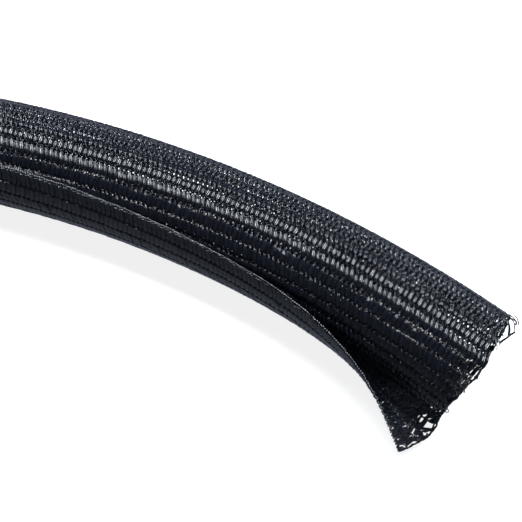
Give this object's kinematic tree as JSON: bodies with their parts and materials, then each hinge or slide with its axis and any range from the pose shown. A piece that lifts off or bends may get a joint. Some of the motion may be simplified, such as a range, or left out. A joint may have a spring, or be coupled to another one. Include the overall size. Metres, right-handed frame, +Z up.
{
  "type": "braided cable sleeve",
  "caption": "Split self-wrapping braided cable sleeve, a black tube that overlaps along its length, with one frayed, fallen-open end.",
  "frame": {"origin": "middle of the base of the whole bent length, on the floor that it lies on", "axes": "+Z up; the frayed open end points along +X and the square-cut end along -Y; the seam faces the inside of the bend"},
  "size_m": [0.3226, 0.3416, 0.0274],
  "materials": {
    "black_monofilament_braid": "smooth polyester monofilament, satin to glossy, near black"
  },
  "bodies": {
    "root": {"braided_sleeve": "black_monofilament_braid"}
  },
  "joints": []
}
